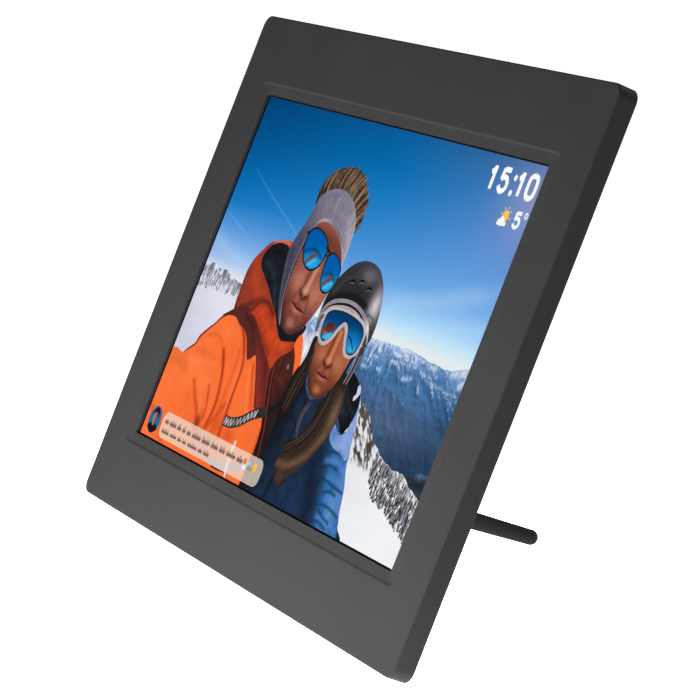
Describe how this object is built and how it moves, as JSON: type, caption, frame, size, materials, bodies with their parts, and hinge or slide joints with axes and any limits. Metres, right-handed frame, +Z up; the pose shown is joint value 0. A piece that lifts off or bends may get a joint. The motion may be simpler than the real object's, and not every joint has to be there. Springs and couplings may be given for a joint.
{
  "type": "digital photo frame",
  "caption": "Lit display in a flat charcoal bezel with a raised back housing; leans back on a rod that unscrews for portrait use or wall hanging.",
  "frame": {"origin": "middle of the bounding box at the height of the surface the frame stands on", "axes": "+Z up, +X to the viewer's right across the picture, +Y away from the viewer; the picture faces -Y and leans back 23.3 degrees"},
  "size_m": [0.2692, 0.1248, 0.1823],
  "materials": {
    "bezel_plastic": "fine-textured charcoal moulding, low sheen",
    "cover_plastic": "fine spark-textured black moulding",
    "rod_plastic": "smooth satin black moulding",
    "button_plastic": "satin black moulding",
    "screen_glass": "clear cover glass, low glare",
    "screen_picture": "lit picture on a polariser",
    "foam": "black closed-cell foam tape",
    "light_guide": "milky diffuser sheet",
    "tray_steel": "folded plated sheet",
    "screw_steel": "black zinc plate",
    "stud_steel": "bright zinc plate",
    "mylar": "black insulating film",
    "board_laminate": "green solder mask",
    "chip_epoxy": "black moulded epoxy",
    "sink_aluminium": "bare extruded",
    "shield_steel": "tin-plated shell",
    "coil_ferrite": "moulded ferrite",
    "capacitor_can": "bare can",
    "nylon_white": "natural nylon",
    "flex_polyimide": "amber film over copper",
    "jack_plastic": "black moulding",
    "speaker_steel": "black pressed steel",
    "magnet_ferrite": "dark sintered ferrite",
    "cone_paper": "black pulp cone",
    "lead_vinyl": "black insulation",
    "insert_brass": "knurled brass",
    "washer_rubber": "soft black rubber"
  },
  "bodies": {
    "frame": {"front_bezel": "bezel_plastic", "back_cover": "cover_plastic", "rear_housing": "cover_plastic", "glass_gasket": "foam", "touch_glass": "screen_glass", "lcd_panel": "screen_picture", "backlight": "light_guide", "lcd_tray": "tray_steel", "lcd_brackets": "tray_steel", "bracket_screws": "screw_steel", "insulation_sheet": "mylar", "main_board": "board_laminate", "processor": "chip_epoxy", "memory_chips": "chip_epoxy", "heat_sink": "sink_aluminium", "wifi_module": "shield_steel", "power_coils": "coil_ferrite", "capacitors": "capacitor_can", "board_connectors": "nylon_white", "display_cable": "flex_polyimide", "touch_cable": "flex_polyimide", "flex_connectors": "nylon_white", "dc_jack": "jack_plastic", "dc_pin": "stud_steel", "usb_port": "shield_steel", "usb_tongue": "jack_plastic", "card_slot": "shield_steel", "power_switch": "jack_plastic", "board_screws": "screw_steel", "speaker_frame": "speaker_steel", "speaker_cone": "cone_paper", "speaker_magnet": "magnet_ferrite", "speaker_gasket": "foam", "speaker_screws": "screw_steel", "speaker_leads": "lead_vinyl", "wifi_antenna": "flex_polyimide", "antenna_lead": "lead_vinyl", "cover_screws": "screw_steel", "stand_insert": "insert_brass", "portrait_insert": "insert_brass", "wall_bumpers": "washer_rubber"},
    "power_button": {"power_button": "button_plastic", "switch_plunger": "button_plastic"},
    "stand_washer": {"stand_washer": "washer_rubber"},
    "stand_rod": {"stand_rod": "rod_plastic", "stand_stud": "stud_steel"}
  },
  "joints": [
    {"name": "power_press", "type": "slide", "parent": "frame", "child": "power_button", "axis": [0, -0.9183, 0.396], "range_m": [0, 0.0003], "stiffness_N_per_m": 1500},
    {"name": "stand_advance", "type": "slide", "parent": "frame", "child": "stand_washer", "axis": [0, 0.9383, -0.3458], "range_m": [0, 0.008]},
    {"name": "stand_turn", "type": "hinge", "parent": "stand_washer", "child": "stand_rod", "pos_m": [0, -0.02596, 0.03437], "axis": [0, 0.9383, -0.3458], "range_deg": [0, 2880.5]}
  ],
  "couplings": [
    {"joint": "stand_turn", "follows": "stand_advance", "rad_per_m": 6283.2}
  ]
}
